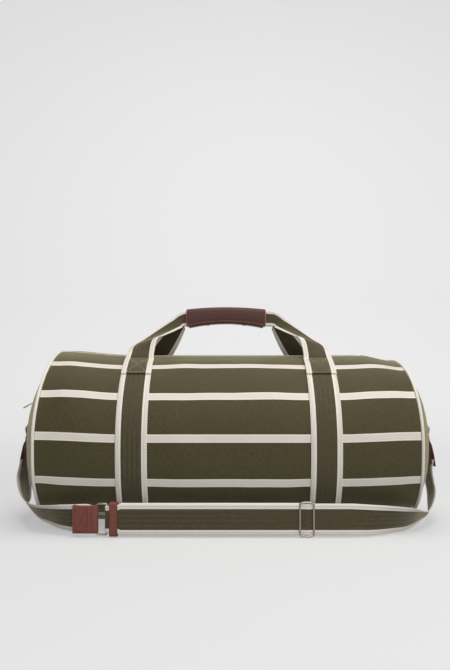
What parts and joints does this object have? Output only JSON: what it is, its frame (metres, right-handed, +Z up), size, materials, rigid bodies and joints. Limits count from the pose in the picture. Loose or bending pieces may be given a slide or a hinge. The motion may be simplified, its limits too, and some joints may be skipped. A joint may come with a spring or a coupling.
{
  "type": "weekender bag",
  "caption": "Soft striped canvas weekender bag with zip mouth, two webbing handles joined in a leather grip, and an adjustable shoulder strap.",
  "frame": {"origin": "centre of the object's bounding box on the surface that it stands on", "axes": "+X along the bag, its front faces -Y, +Z up"},
  "size_m": [0.6696, 0.3006, 0.3365],
  "materials": {
    "canvas": "woven cotton canvas, olive with printed cream stripes",
    "webbing": "cotton webbing, olive with cream edges",
    "piping_cord": "cream cotton piping",
    "leather": "smooth dark red-brown leather",
    "nickel": "warm nickel plate",
    "zip_tape": "woven zip tape with nylon teeth",
    "board": "stiff base board"
  },
  "bodies": {
    "bag": {"body_canvas": "canvas", "base_board": "board", "left_end_panel": "canvas", "right_end_panel": "canvas", "left_piping": "piping_cord", "right_piping": "piping_cord", "left_band": "webbing", "right_band": "webbing", "left_zip_tail": "zip_tape", "right_zip_tail": "zip_tape", "front_handle": "webbing", "back_handle": "webbing", "left_side_tab": "webbing", "right_side_tab": "webbing", "left_ring": "nickel", "right_ring": "nickel"},
    "front_flap": {"front_mouth_panel": "canvas", "front_zip_tape": "zip_tape"},
    "back_flap": {"back_mouth_panel": "canvas", "back_zip_tape": "zip_tape"},
    "slider": {"zip_slider": "nickel"},
    "pull": {"zip_pull": "nickel"},
    "grip": {"grip_wrap": "leather"},
    "grip_closure": {"grip_flap": "leather", "grip_stud_left": "nickel", "grip_stud_right": "nickel"},
    "strap": {"left_strap_leather": "leather", "right_strap_leather": "leather", "strap_left_webbing": "webbing", "strap_right_webbing": "webbing", "strap_patch": "leather", "strap_ring": "nickel", "strap_keeper": "leather"},
    "strap_adjuster": {"strap_slider": "nickel", "strap_slider_bar": "nickel"}
  },
  "joints": [
    {"name": "mouth_front", "type": "hinge", "parent": "bag", "child": "front_flap", "pos_m": [0, -0.0323, 0.2515], "axis": [-1, 0, 0], "range_deg": [0, 75]},
    {"name": "mouth_back", "type": "hinge", "parent": "bag", "child": "back_flap", "pos_m": [0, 0.0467, 0.2515], "axis": [1, 0, 0], "range_deg": [0, 75]},
    {"name": "zip_run", "type": "slide", "parent": "bag", "child": "slider", "axis": [0.2567, 0, 0.9665], "range_m": [0, 0.02]},
    {"name": "zip_pull_turn", "type": "hinge", "parent": "slider", "child": "pull", "pos_m": [-0.3164, 0.0072, 0.1842], "axis": [0, 1, 0], "range_deg": [-48, 105]},
    {"name": "handle_press", "type": "slide", "parent": "bag", "child": "grip", "axis": [0, 0, -1], "range_m": [0, 0.02], "stiffness_N_per_m": 200, "springref_m": -0.01, "deforming": ["front_handle", "back_handle"]},
    {"name": "grip_open", "type": "hinge", "parent": "grip", "child": "grip_closure", "pos_m": [-0.004, 0.0182, 0.3066], "axis": [1, 0, 0], "range_deg": [0, 100]},
    {"name": "strap_swing", "type": "hinge", "parent": "bag", "child": "strap", "pos_m": [0, 0.0072, 0.143], "axis": [-1, 0, 0], "range_deg": [0, 35]},
    {"name": "strap_adjust", "type": "slide", "parent": "strap", "child": "strap_adjuster", "axis": [1, 0, 0], "range_m": [-0.23, 0.055]}
  ],
  "couplings": [
    {"joint": "mouth_back", "follows": "mouth_front", "ratio": 1}
  ]
}
